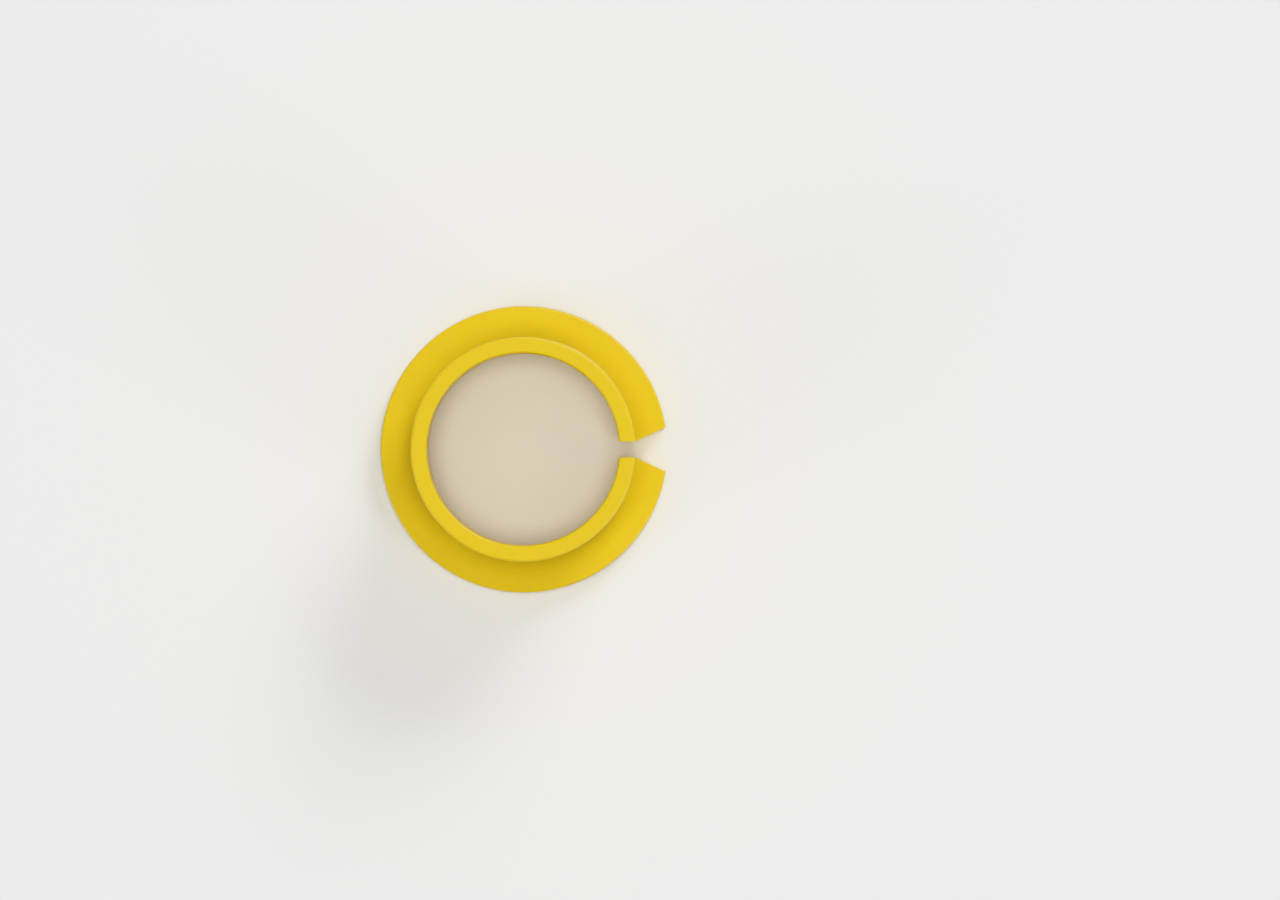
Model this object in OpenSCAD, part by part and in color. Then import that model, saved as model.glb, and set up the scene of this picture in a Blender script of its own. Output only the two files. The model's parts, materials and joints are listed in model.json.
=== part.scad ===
// Split flanged bushing: a plain sleeve bearing with a flange at one end,
// slit along its whole length so that it can be sprung open over a shaft.
// It is one moulded piece. It stands on its flange, with the bore upright on Z
// and the slit towards +X; the origin is the bore's centre in the flange's face.

/* [Bearing] */
// Bore, which takes the shaft
bore_d = 30; // [12:0.5:36]
// Thickness of the sleeve's wall
wall = 2.5; // [1:0.1:4]
// Overall length, from the flange's face to the sleeve's free end
length = 30; // [8:0.5:90]

/* [Flange] */
// Outer diameter of the flange
flange_d = 45; // [38:0.5:90]
// Thickness of the flange
flange_t = 4; // [1.5:0.1:7]

/* [Slit] */
// Gap between the slit's parallel walls
slit_w = 2.5; // [0.5:0.1:8]
// Angle between the walls of the V where the slit crosses the flange
notch_angle = 50; // [10:1:100]

/* [Edges] */
// Radius on every turned edge
edge_r = 0.4; // [0.1:0.05:0.5]
// Fillet in the corner between sleeve and flange
root_r = 0.3; // [0.1:0.05:0.8]

/* [Hidden] */

$fn = 180;
// Straight steps in each rounded edge
edge_steps = 8;
// How far a cutter runs past the surface that it opens
overrun = 1;
moulded_yellow = "#E7C72C";

bore_r = bore_d / 2;
sleeve_r = bore_r + wall;
flange_r = flange_d / 2;
half_gap = slit_w / 2;

// A point at an angle on a circle, in the plane of the section
function on_circle(centre, r, angle) = centre + r * [cos(angle), sin(angle)];

// The points of an arc from one angle to another
function arc(centre, r, from, to) =
    [for (i = [0 : edge_steps]) on_circle(centre, r, from + (to - from) * i / edge_steps)];

// Half section of the ring that is turned about the bore: a sleeve standing on a flange
module section() {
    near = bore_r + edge_r;
    rim = flange_r - edge_r;
    top = length - edge_r;
    polygon(concat(
        arc([near, edge_r], edge_r, 180, 270),
        arc([rim, edge_r], edge_r, 270, 360),
        arc([rim, flange_t - edge_r], edge_r, 0, 90),
        arc([sleeve_r + root_r, flange_t + root_r], root_r, 270, 180),
        arc([sleeve_r - edge_r, top], edge_r, 0, 90),
        arc([near, top], edge_r, 90, 180)
    ));
}

module flanged_sleeve() {
    rotate_extrude() section();
}

// Parallel through the sleeve's wall, then a V that opens across the flange
module slit() {
    root_x = sqrt(sleeve_r * sleeve_r - half_gap * half_gap);
    mouth_x = flange_r + overrun;
    half_mouth = half_gap + (mouth_x - root_x) * tan(notch_angle / 2);
    translate([0, 0, -overrun])
        linear_extrude(length + 2 * overrun)
            polygon([
                [0, -half_gap],
                [root_x, -half_gap],
                [mouth_x, -half_mouth],
                [mouth_x, half_mouth],
                [root_x, half_gap],
                [0, half_gap]
            ]);
}

module bushing() {
    color(moulded_yellow)
        difference() {
            flanged_sleeve();
            slit();
        }
}

bushing();
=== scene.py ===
# %% [markdown]
# A split flanged bushing in yellow plastic
#
# The real object is one moulded piece: a thin sleeve that a shaft turns in, with a flange at one end.
# It is slit along its whole length, so that it can be sprung open over the shaft, and the slit widens
# into a V where it crosses the flange. This lesson dresses the part that was built and measured in CAD:
# we rebuild its surface as a clean mesh with every edge rounded, give it a moulded finish, and set it
# in a small photo studio, seen from straight above.

# %% Load the frame
import json
import math

import bmesh
import bpy
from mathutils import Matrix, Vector


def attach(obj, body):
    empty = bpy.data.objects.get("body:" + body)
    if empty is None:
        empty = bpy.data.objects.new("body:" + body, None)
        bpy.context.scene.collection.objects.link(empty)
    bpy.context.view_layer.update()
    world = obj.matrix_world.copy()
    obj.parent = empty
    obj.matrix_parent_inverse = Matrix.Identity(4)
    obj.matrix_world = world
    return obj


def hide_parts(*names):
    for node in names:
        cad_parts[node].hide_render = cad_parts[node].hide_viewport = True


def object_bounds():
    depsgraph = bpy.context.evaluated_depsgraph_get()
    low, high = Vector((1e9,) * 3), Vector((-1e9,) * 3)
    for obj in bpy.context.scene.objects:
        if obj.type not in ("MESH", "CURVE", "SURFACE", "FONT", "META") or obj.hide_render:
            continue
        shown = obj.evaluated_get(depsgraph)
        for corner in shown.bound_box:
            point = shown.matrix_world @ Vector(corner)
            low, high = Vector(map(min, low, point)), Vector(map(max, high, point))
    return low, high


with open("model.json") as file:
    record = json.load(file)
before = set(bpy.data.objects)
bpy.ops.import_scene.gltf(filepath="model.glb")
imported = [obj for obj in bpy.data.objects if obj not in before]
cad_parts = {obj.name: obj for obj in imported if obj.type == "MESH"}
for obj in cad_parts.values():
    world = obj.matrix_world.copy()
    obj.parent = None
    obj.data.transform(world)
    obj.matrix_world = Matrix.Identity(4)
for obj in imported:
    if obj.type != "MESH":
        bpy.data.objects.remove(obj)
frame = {"nodes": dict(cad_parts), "record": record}
cad_low, cad_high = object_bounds()
MM = 0.001
print("CAD box in mm:", [round(size / MM, 2) for size in cad_high - cad_low])

# %% [markdown]
# The sizes come from the frame
#
# Nothing is measured twice. The record's mounts say how wide the bore and the sleeve are and how far
# their straight walls reach, and what the walls leave over at their ends is the rounding. The slit isn't
# a mount, so its gap and the angle of its V are read from the corners of the CAD model's own surface.

# %% Read the turned sizes
mounts = {mount["name"]: mount for mount in frame["record"]["mounts"]}
bore_radius = mounts["bore"]["dims"]["r_mm"] * MM
sleeve_radius = mounts["sleeve"]["dims"]["r_mm"] * MM
flange_radius = -cad_low.x
length = cad_high.z
flange_thickness = mounts["shoulder"]["pos_m"][2]
edge_radius = (length - mounts["bore"]["dims"]["length_mm"] * MM) / 2
sleeve_wall = mounts["sleeve"]["dims"]["length_mm"] * MM
root_radius = length - flange_thickness - edge_radius - sleeve_wall
print(f"bore {2 * bore_radius / MM:.2f}, sleeve {2 * sleeve_radius / MM:.2f}, length {length / MM:.2f}")
print(f"flange {2 * flange_radius / MM:.2f}, {flange_thickness / MM:.2f} thick")
print(f"edge radius {edge_radius / MM:.2f}, root radius {root_radius / MM:.2f}")

# %% Read the slit
rim_tolerance = 0.01 * MM
cad_points = [vertex.co for vertex in frame["nodes"]["bushing"].data.vertices]
half_gap = min(abs(p.y) for p in cad_points if p.x > 0)
rim_points = [p for p in cad_points if p.x > 0 and p.xy.length > flange_radius - rim_tolerance]
rim_corner = min(rim_points, key=lambda p: abs(p.y))
notch_root = math.sqrt(sleeve_radius**2 - half_gap**2)
half_notch = math.atan2(abs(rim_corner.y) - half_gap, rim_corner.x - notch_root)
print(f"slit {2 * half_gap / MM:.2f} wide, V of {math.degrees(2 * half_notch):.1f} degrees")
print(f"the V's mouth is {2 * abs(rim_corner.y) / MM:.2f} wide at the rim")

# %% [markdown]
# A little help with node trees
#
# Both the shape and the finish are node trees, and a tree is only nodes whose inputs are either a value
# or another node's output. Three short helpers keep the cells that follow close to what one would do
# with the mouse: feed one input, add a node with its settings, and do a sum.

# %% Helpers for node trees
def feed(tree, socket, value):
    """Set a socket's value, or link it to an output. A node stands for its first shown output."""
    if isinstance(value, bpy.types.Node):
        value = next(out for out in value.outputs if out.enabled)
    if isinstance(value, bpy.types.NodeSocket):
        tree.links.new(value, socket)
    else:
        socket.default_value = value


def add_node(tree, kind, inputs=None, **settings):
    """Add a node, apply its settings, and feed its shown inputs by name, or by number."""
    made = tree.nodes.new(kind)
    for name, value in settings.items():
        setattr(made, name, value)
    for key, value in (inputs or {}).items():
        named = [socket for socket in made.inputs if socket.enabled and socket.name == key]
        feed(tree, named[0] if named else made.inputs[key], value)
    return made


def maths(tree, operation, *values):
    """Add a Math node on one to three values."""
    return add_node(tree, "ShaderNodeMath", dict(enumerate(values)), operation=operation)


# %% [markdown]
# The ring as a rule
#
# A bushing is a turned shape: one L-shaped section, carried round the bore. It could be made by Spin, or
# by cutting a slit out of a closed ring with a Boolean, but a cut leaves ragged faces along its edge and
# they shade badly. Geometry Nodes let us state the rule itself: each point of the section starts on one
# wall of the slit, goes round the bore, and ends on the other wall. A point nearer the bore starts at
# another angle than a point at the rim, so both walls come out flat, and no face is ever cut.

# %% Name the tree's inputs
ring_tree = bpy.data.node_groups.new("split_ring", "GeometryNodeTree")
ring_sizes = {
    "Bore Radius": bore_radius,
    "Sleeve Radius": sleeve_radius,
    "Flange Radius": flange_radius,
    "Flange Thickness": flange_thickness,
    "Length": length,
    "Edge Radius": edge_radius,
    "Root Radius": root_radius,
    "Half Gap": half_gap,
    "Half Notch": half_notch,
}
ring_counts = {"Steps Round": 320, "Steps In Edge": 8}
identifiers = {}
for name in ring_sizes:
    socket = ring_tree.interface.new_socket(name, in_out="INPUT", socket_type="NodeSocketFloat")
    identifiers[name] = socket.identifier
for name in ring_counts:
    socket = ring_tree.interface.new_socket(name, in_out="INPUT", socket_type="NodeSocketInt")
    identifiers[name] = socket.identifier
socket = ring_tree.interface.new_socket("Plastic", in_out="INPUT", socket_type="NodeSocketMaterial")
identifiers["Plastic"] = socket.identifier
ring_tree.interface.new_socket("Ring", in_out="OUTPUT", socket_type="NodeSocketGeometry")
given = ring_tree.nodes.new("NodeGroupInput").outputs
print("inputs of the ring's tree:", ", ".join(identifiers))

# %% [markdown]
# The section
#
# Seven corners draw the L: six true ones, and one more on the flange's face, right under the sleeve's
# outer wall. The slit folds open on that line, and a fold needs a point to turn on. Fillet Curve then
# rounds each corner by its own radius, and the extra point, with a radius of nothing, stays as it is.

# %% Name the section's corners
section_corners = [
    (given["Bore Radius"], 0.0, given["Edge Radius"]),
    (given["Sleeve Radius"], 0.0, 0.0),
    (given["Flange Radius"], 0.0, given["Edge Radius"]),
    (given["Flange Radius"], given["Flange Thickness"], given["Edge Radius"]),
    (given["Sleeve Radius"], given["Flange Thickness"], given["Root Radius"]),
    (given["Sleeve Radius"], given["Length"], given["Edge Radius"]),
    (given["Bore Radius"], given["Length"], given["Edge Radius"]),
]
corner_number = add_node(ring_tree, "GeometryNodeInputIndex")
corner_place = add_node(ring_tree, "GeometryNodeIndexSwitch", {"Index": corner_number},
                        data_type="VECTOR")
corner_round = add_node(ring_tree, "GeometryNodeIndexSwitch", {"Index": corner_number},
                        data_type="FLOAT")
for switch in (corner_place, corner_round):
    while len(switch.index_switch_items) < len(section_corners):
        switch.index_switch_items.new()
for number, (out, up, rounding) in enumerate(section_corners):
    corner = add_node(ring_tree, "ShaderNodeCombineXYZ", {"X": out, "Y": up})
    feed(ring_tree, corner_place.inputs[f"{number}"], corner)
    feed(ring_tree, corner_round.inputs[f"{number}"], rounding)
print("corners in the section:", len(section_corners))

# %% Draw and round the section
outline = add_node(ring_tree, "GeometryNodeMeshLine", {"Count": len(section_corners)})
outline = add_node(ring_tree, "GeometryNodeSetPosition",
                   {"Geometry": outline, "Position": corner_place})
outline = add_node(ring_tree, "GeometryNodeMeshToCurve", {"Mesh": outline})
outline = add_node(ring_tree, "GeometryNodeSetSplineCyclic", {"Geometry": outline, "Cyclic": True})
outline = add_node(ring_tree, "GeometryNodeFilletCurve",
                   {"Curve": outline, "Count": given["Steps In Edge"], "Radius": corner_round},
                   mode="POLY")
print("steps in each rounding:", ring_counts["Steps In Edge"])

# %% [markdown]
# From section to tube
#
# Curve to Mesh joins the section to a path and closes both ends. The path here is a plain straight line:
# it only hands out how far round each copy of the section is, from 0 to 1. We note that number on the
# path, and each section point's own place on the section, before the two are joined, because both are
# needed to bend the tube afterwards.

# %% Carry the section along a path
outline = add_node(ring_tree, "GeometryNodeStoreNamedAttribute",
                   {"Geometry": outline, "Name": "on_section",
                    "Value": add_node(ring_tree, "GeometryNodeInputPosition")},
                   data_type="FLOAT_VECTOR")
path = add_node(ring_tree, "GeometryNodeCurvePrimitiveLine")
path = add_node(ring_tree, "GeometryNodeResampleCurve",
                {"Curve": path, "Count": maths(ring_tree, "ADD", given["Steps Round"], 1)})
path = add_node(ring_tree, "GeometryNodeStoreNamedAttribute",
                {"Geometry": path, "Name": "way_round",
                 "Value": add_node(ring_tree, "GeometryNodeSplineParameter")})
tube = add_node(ring_tree, "GeometryNodeCurveToMesh",
                {"Curve": path, "Profile Curve": outline, "Fill Caps": True})
print("copies of the section on the path:", ring_counts["Steps Round"] + 1)

# %% [markdown]
# The slit
#
# Seen from above, the slit's wall is a straight line half a gap away from the middle, up to the sleeve's
# outer wall, and from there a line that leans away by half the V's angle. A point at a given radius lies
# on the first line at the angle asin(gap / radius), and on the second at lean + asin(offset / radius),
# where the offset is how far that line passes from the bore's centre. The wider of the two angles wins.
# The other wall mirrors this one, so a point stops as far short of the full turn as it starts into it.

# %% Find where each point starts
on_section = add_node(ring_tree, "GeometryNodeInputNamedAttribute", {"Name": "on_section"},
                      data_type="FLOAT_VECTOR")
on_section = add_node(ring_tree, "ShaderNodeSeparateXYZ", {0: on_section}).outputs
radius, height = on_section["X"], on_section["Y"]
gap, lean, sleeve = given["Half Gap"], given["Half Notch"], given["Sleeve Radius"]
root = maths(ring_tree, "SQRT", maths(ring_tree, "SUBTRACT",
                                      maths(ring_tree, "MULTIPLY", sleeve, sleeve),
                                      maths(ring_tree, "MULTIPLY", gap, gap)))
offset = maths(ring_tree, "SUBTRACT",
               maths(ring_tree, "MULTIPLY", gap, maths(ring_tree, "COSINE", lean)),
               maths(ring_tree, "MULTIPLY", root, maths(ring_tree, "SINE", lean)))
straight = maths(ring_tree, "ARCSINE", maths(ring_tree, "DIVIDE", gap, radius))
leaning = maths(ring_tree, "ARCSINE", maths(ring_tree, "DIVIDE", offset, radius))
start = maths(ring_tree, "MAXIMUM", straight, maths(ring_tree, "ADD", leaning, lean))
start_at_bore = math.degrees(math.asin(half_gap / bore_radius))
start_at_rim = math.degrees(math.asin(abs(rim_corner.y) / flange_radius))
print(f"the slit's wall lies at {start_at_bore:.1f} degrees at the bore and {start_at_rim:.1f} at the rim")

# %% Bend the tube round the bore
way_round = add_node(ring_tree, "GeometryNodeInputNamedAttribute", {"Name": "way_round"})
span = maths(ring_tree, "MULTIPLY_ADD", start, -2.0, math.tau)
angle = maths(ring_tree, "MULTIPLY_ADD", way_round, span, start)
bent = add_node(ring_tree, "ShaderNodeCombineXYZ", {
    "X": maths(ring_tree, "MULTIPLY", radius, maths(ring_tree, "COSINE", angle)),
    "Y": maths(ring_tree, "MULTIPLY", radius, maths(ring_tree, "SINE", angle)),
    "Z": height,
})
ring = add_node(ring_tree, "GeometryNodeSetPosition", {"Geometry": tube, "Position": bent})
for note in ("on_section", "way_round"):
    ring = add_node(ring_tree, "GeometryNodeRemoveAttribute", {"Geometry": ring, "Name": note})
ring = add_node(ring_tree, "GeometryNodeRealizeInstances", {"Geometry": ring})
ring = add_node(ring_tree, "GeometryNodeSetMaterial", {"Geometry": ring, "Material": given["Plastic"]})
add_node(ring_tree, "NodeGroupOutput", {"Ring": ring})
print("nodes in the ring's tree:", len(ring_tree.nodes))

# %% [markdown]
# From rule to mesh
#
# The tree is only a recipe until a modifier runs it. We hang it on an empty carrier object, fill in its
# inputs by their identifiers, take the finished mesh out, and throw the carrier away. What is left is a
# plain mesh that can be edited and exported like any other.

# %% Run the tree
moulded_plastic = bpy.data.materials.new("moulded_yellow_plastic")
carrier = bpy.data.objects.new("ring_carrier", bpy.data.meshes.new("ring_carrier"))
bpy.context.scene.collection.objects.link(carrier)
recipe = carrier.modifiers.new("split_ring", "NODES")
recipe.node_group = ring_tree
for name, value in {**ring_sizes, **ring_counts, "Plastic": moulded_plastic}.items():
    recipe[identifiers[name]] = value
evaluated = carrier.evaluated_get(bpy.context.evaluated_depsgraph_get())
ring_mesh = bpy.data.meshes.new_from_object(evaluated)
ring_mesh.name = "split_bushing"
carrier.modifiers.remove(recipe)
bpy.data.objects.remove(carrier)
print(len(ring_mesh.vertices), "points and", len(ring_mesh.polygons), "faces in the ring")

# %% [markdown]
# The walls of the slit
#
# Each end of the tube came out as one many-sided face, although the real wall bends where the V begins.
# A face that bends has no single plane and would be filled badly, so we split it along the fold, from
# the flange's face up to the top of the fillet under the sleeve. The same step marks the edges round
# each wall, because they are the only ones that aren't rounded yet.

# %% Fold the end walls and mark their edges
def corner_at(face, radius, height):
    """The corner of a face that lies nearest to a radius and a height."""
    return min(face.verts, key=lambda v: abs(v.co.xy.length - radius) + abs(v.co.z - height))


shape = bmesh.new()
shape.from_mesh(ring_mesh)
marks = shape.edges.layers.float.new("bevel_weight_edge")
end_walls = [face for face in shape.faces if len(face.verts) > 4]
fold_top = flange_thickness + root_radius
for wall in end_walls:
    for edge in wall.edges:
        edge[marks] = 1.0
    below = corner_at(wall, sleeve_radius, 0.0)
    above = corner_at(wall, sleeve_radius, fold_top)
    bmesh.utils.face_split(wall, below, above)
    shape.edges.get((below, above))[marks] = 1.0
bmesh.ops.recalc_face_normals(shape, faces=shape.faces)
print(len(end_walls), "end walls; volume", round(shape.calc_volume() / MM**3, 1), "cubic mm")
shape.to_mesh(ring_mesh)
shape.free()

# %% [markdown]
# Rounding what a mould rounds
#
# No moulded edge is knife sharp. A Bevel modifier rounds only the marked edges, by much less than the
# turned ones, and Weighted Normal lets the large flat faces decide the shading, so that they stay flat
# to the eye while the narrow roundings between them catch the light.

# %% Make the piece and round the slit's edges
slit_edge_radius = 0.15 * MM
slit_edge_steps = 3
bushing = bpy.data.objects.new("split_bushing", ring_mesh)
bpy.context.scene.collection.objects.link(bushing)
for face in ring_mesh.polygons:
    face.use_smooth = True
rounding = bushing.modifiers.new("slit_edges", "BEVEL")
rounding.limit_method = "WEIGHT"
rounding.width = slit_edge_radius
rounding.segments = slit_edge_steps
bushing.modifiers.new("flat_faces", "WEIGHTED_NORMAL")
print("modifiers on the bushing:", [modifier.name for modifier in bushing.modifiers])

# %% [markdown]
# The finish
#
# The bushing is plain yellow plastic of the nylon kind: satin, a little translucent at its edges, and
# moulded in a cavity that was turned on a lathe. A turned cavity leaves its marks on the part, as very
# fine lines that run round the bore, over a soft grain, and no moulding is ever perfectly even. All of
# it is built from Object coordinates, so the pattern sits still on the part from every side. Subsurface
# lets some light travel a millimetre inside the plastic, which softens the shadows on its thin wall.

# %% Start the plastic
moulded_plastic.use_nodes = True
plastic = moulded_plastic.node_tree
plastic.nodes.clear()
surface = add_node(plastic, "ShaderNodeBsdfPrincipled", {
    "IOR": 1.53,
    "Subsurface Weight": 0.4,
    "Subsurface Radius": (1.0, 0.6, 0.15),
    "Subsurface Scale": 1.0 * MM,
})
add_node(plastic, "ShaderNodeOutputMaterial", {"Surface": surface})
place = add_node(plastic, "ShaderNodeTexCoord").outputs["Object"]
print("the plastic's own node:", surface.name)

# %% [markdown]
# Lines that run round the bore
#
# A noise that changes fast across the lines and slowly along them draws lines. Across is the distance
# from the bore's axis and the height, and along is the direction from the axis, taken as a point on a
# circle, so that the pattern meets itself without a seam. The circle is small beside the noise's own
# cells, so little changes on the way round. That makes four numbers, so the noise is 4D.

# %% Draw the turned lines
line_spacing = 0.4 * MM
cells_round = 0.15
axes = add_node(plastic, "ShaderNodeSeparateXYZ", {0: place}).outputs
spoke = add_node(plastic, "ShaderNodeCombineXYZ", {"X": axes["X"], "Y": axes["Y"]})
distance = add_node(plastic, "ShaderNodeVectorMath", {0: spoke}, operation="LENGTH")
heading = add_node(plastic, "ShaderNodeVectorMath", {0: spoke}, operation="NORMALIZE")
heading = add_node(plastic, "ShaderNodeSeparateXYZ", {0: heading}).outputs
line_place = add_node(plastic, "ShaderNodeCombineXYZ", {
    "X": maths(plastic, "MULTIPLY", heading["X"], cells_round),
    "Y": maths(plastic, "MULTIPLY", heading["Y"], cells_round),
    "Z": maths(plastic, "DIVIDE", axes["Z"], line_spacing),
})
turned_lines = add_node(plastic, "ShaderNodeTexNoise", {
    "Vector": line_place,
    "W": maths(plastic, "DIVIDE", distance, line_spacing),
    "Scale": 1.0, "Detail": 3.0, "Roughness": 0.6,
}, noise_dimensions="4D")
print(f"turned lines about {line_spacing / MM:.1f} mm apart")

# %% [markdown]
# Grain and waves
#
# The steel of a mould is never quite smooth, and leaves a soft grain all over. The plastic also shrinks
# a little unevenly as it cools, which leaves slow waves. Both are plain noises in three dimensions, one
# forty times finer than the other. Pictures of a surface would do too, but they need the mesh unwrapped
# and show a seam, and a noise needs neither.

# %% Add the grain and the waves
grain_size = 0.15 * MM
wave_size = 6 * MM
grain = add_node(plastic, "ShaderNodeTexNoise", {
    "Vector": place, "Scale": 1 / grain_size, "Detail": 2.0})
waves = add_node(plastic, "ShaderNodeTexNoise", {
    "Vector": place, "Scale": 1 / wave_size, "Detail": 1.0})
print(f"grain of {grain_size / MM:.2f} mm, waves of {wave_size / MM:.0f} mm")

# %% [markdown]
# Colour, gloss and relief
#
# The waves shift the colour a little, the lines shift the gloss, and all three patterns add up to one
# relief. The roughness stays above 0.28 on purpose. Below about 0.27 the renderer's noise filter takes a
# surface for a mirror, and where a pattern crosses that limit, it draws a hard line that isn't there.

# %% Colour and gloss
plastic_yellow = (0.80, 0.60, 0.036, 1.0)
deeper_yellow = (0.78, 0.57, 0.03, 1.0)
glossiest, dullest = 0.285, 0.37
yellow = add_node(plastic, "ShaderNodeMix", {
    "Factor": waves, "A": plastic_yellow, "B": deeper_yellow}, data_type="RGBA")
gloss = add_node(plastic, "ShaderNodeMapRange", {
    "Value": turned_lines, "From Min": 0.3, "From Max": 0.7, "To Min": glossiest, "To Max": dullest})
feed(plastic, surface.inputs["Base Color"], yellow)
feed(plastic, surface.inputs["Roughness"], gloss)
print("roughness from", glossiest, "to", dullest)

# %% Relief
micron = 0.001 * MM
line_height, grain_height, wave_height = 20 * micron, 30 * micron, 120 * micron
relief = maths(plastic, "MULTIPLY", turned_lines, line_height)
relief = maths(plastic, "MULTIPLY_ADD", grain, grain_height, relief)
relief = maths(plastic, "MULTIPLY_ADD", waves, wave_height, relief)
bump = add_node(plastic, "ShaderNodeBump", {"Height": relief, "Distance": 1.0, "Strength": 1.0})
feed(plastic, surface.inputs["Normal"], bump)
print("nodes in the plastic:", len(plastic.nodes))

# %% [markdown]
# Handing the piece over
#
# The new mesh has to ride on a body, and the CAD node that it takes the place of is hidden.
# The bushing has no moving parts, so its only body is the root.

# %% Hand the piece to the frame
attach(bushing, "root")
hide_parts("bushing")
print(bushing.name, "rides on root and stands in for the node bushing")

# %% [markdown]
# The studio
#
# The part stands on a plain pale floor, in a white room that gives a weak light from all around. A floor
# so pale throws much of the light back up, and that fills the shadows on the part's walls.

# %% Floor
floor_colour = (0.86, 0.86, 0.86, 1.0)
floor_roughness = 0.7
floor_side = 8.0
floor_mesh = bpy.data.meshes.new("floor")
plane = bmesh.new()
bmesh.ops.create_grid(plane, x_segments=1, y_segments=1, size=floor_side / 2)
plane.to_mesh(floor_mesh)
plane.free()
floor = bpy.data.objects.new("floor", floor_mesh)
bpy.context.scene.collection.objects.link(floor)
floor_paint = bpy.data.materials.new("pale_floor")
floor_paint.use_nodes = True
floor_surface = floor_paint.node_tree.nodes["Principled BSDF"]
floor_surface.inputs["Base Color"].default_value = floor_colour
floor_surface.inputs["Roughness"].default_value = floor_roughness
floor_mesh.materials.append(floor_paint)
print("floor", floor_side, "m square")

# %% Room
room_colour = (1.0, 1.0, 1.0, 1.0)
room_strength = 0.15
room = bpy.data.worlds.new("white_room")
room.use_nodes = True
room_light = room.node_tree.nodes["Background"]
room_light.inputs["Color"].default_value = room_colour
room_light.inputs["Strength"].default_value = room_strength
bpy.context.scene.world = room
print("room light", room_strength)

# %% [markdown]
# The softboxes
#
# Each lamp is set by its share of the light on the floor, so that light can be traded between lamps and
# the picture stays as bright. The key, from the upper right, gives the sleeve its shadow, and two low
# lamps keep the walls that it doesn't reach from going dull. Only light from almost straight above gets
# down the bore, to the floor inside it, so one small lamp hangs there. It has no shine, because the flat
# faces would mirror it into the camera as a pale veil: it lights the part, but isn't seen in it.
#
# Even so, the floor inside the bore stays darker than the floor outside, and yellower, because the walls
# keep some light out and throw their own colour on it. That is how a real one looks in soft light.

# %% Softboxes
light_distance = 2.4


def softbox(name, azimuth, elevation, width, height, share, shine=True):
    """Aim a lamp at the part. A share of 1 lights the floor fully; without shine nothing mirrors it."""
    turn, rise = math.radians(azimuth), math.radians(elevation)
    towards = Vector((math.cos(turn) * math.cos(rise), math.sin(turn) * math.cos(rise), math.sin(rise)))
    lamp = bpy.data.lights.new(name, "AREA")
    lamp.shape = "RECTANGLE"
    lamp.size, lamp.size_y = width, height
    lamp.energy = math.pi**2 * share * light_distance**2 / towards.z
    made = bpy.data.objects.new(name, lamp)
    made.location = towards * light_distance
    made.rotation_euler = towards.to_track_quat("Z", "Y").to_euler()
    made.visible_camera = False
    made.visible_glossy = shine
    bpy.context.scene.collection.objects.link(made)
    print(f"{name}: {lamp.energy:.2f} W")


softbox("overhead", 0, 90, width=2.0, height=2.0, share=0.12)
softbox("down_the_bore", 0, 90, width=0.5, height=0.5, share=0.48, shine=False)
softbox("key", 60, 35, width=1.1, height=1.1, share=0.26)
softbox("low_back", 205, 22, width=0.9, height=1.2, share=0.07)
softbox("low_front", -35, 22, width=0.9, height=1.2, share=0.08)

# %% [markdown]
# The camera
#
# The view is straight down the bore, from the sleeve's side, with the slit to the right. A drawing has
# no perspective, so the lens is long and the camera is far away. Its height and its place follow from
# where the flange stands in the picture and how wide it is there.

# %% Place the camera
picture_width, picture_height = 1280, 900
flange_width_px = 286.3
axis_px = (524.0, 449.4)
lens_mm, sensor_mm = 500.0, 36.0
metres_per_px = 2 * flange_radius / flange_width_px
camera_data = bpy.data.cameras.new("camera")
camera_data.lens = lens_mm
camera_data.sensor_width = sensor_mm
camera_data.clip_start, camera_data.clip_end = 0.1, 20.0
camera = bpy.data.objects.new("camera", camera_data)
camera.location = (
    (picture_width / 2 - axis_px[0]) * metres_per_px,
    (axis_px[1] - picture_height / 2) * metres_per_px,
    flange_thickness + picture_width * metres_per_px * lens_mm / sensor_mm,
)
bpy.context.scene.collection.objects.link(camera)
bpy.context.scene.camera = camera
bpy.context.scene.view_settings.view_transform = "Khronos PBR Neutral"
print("camera stands", round(camera.location.z, 3), "m above the floor")
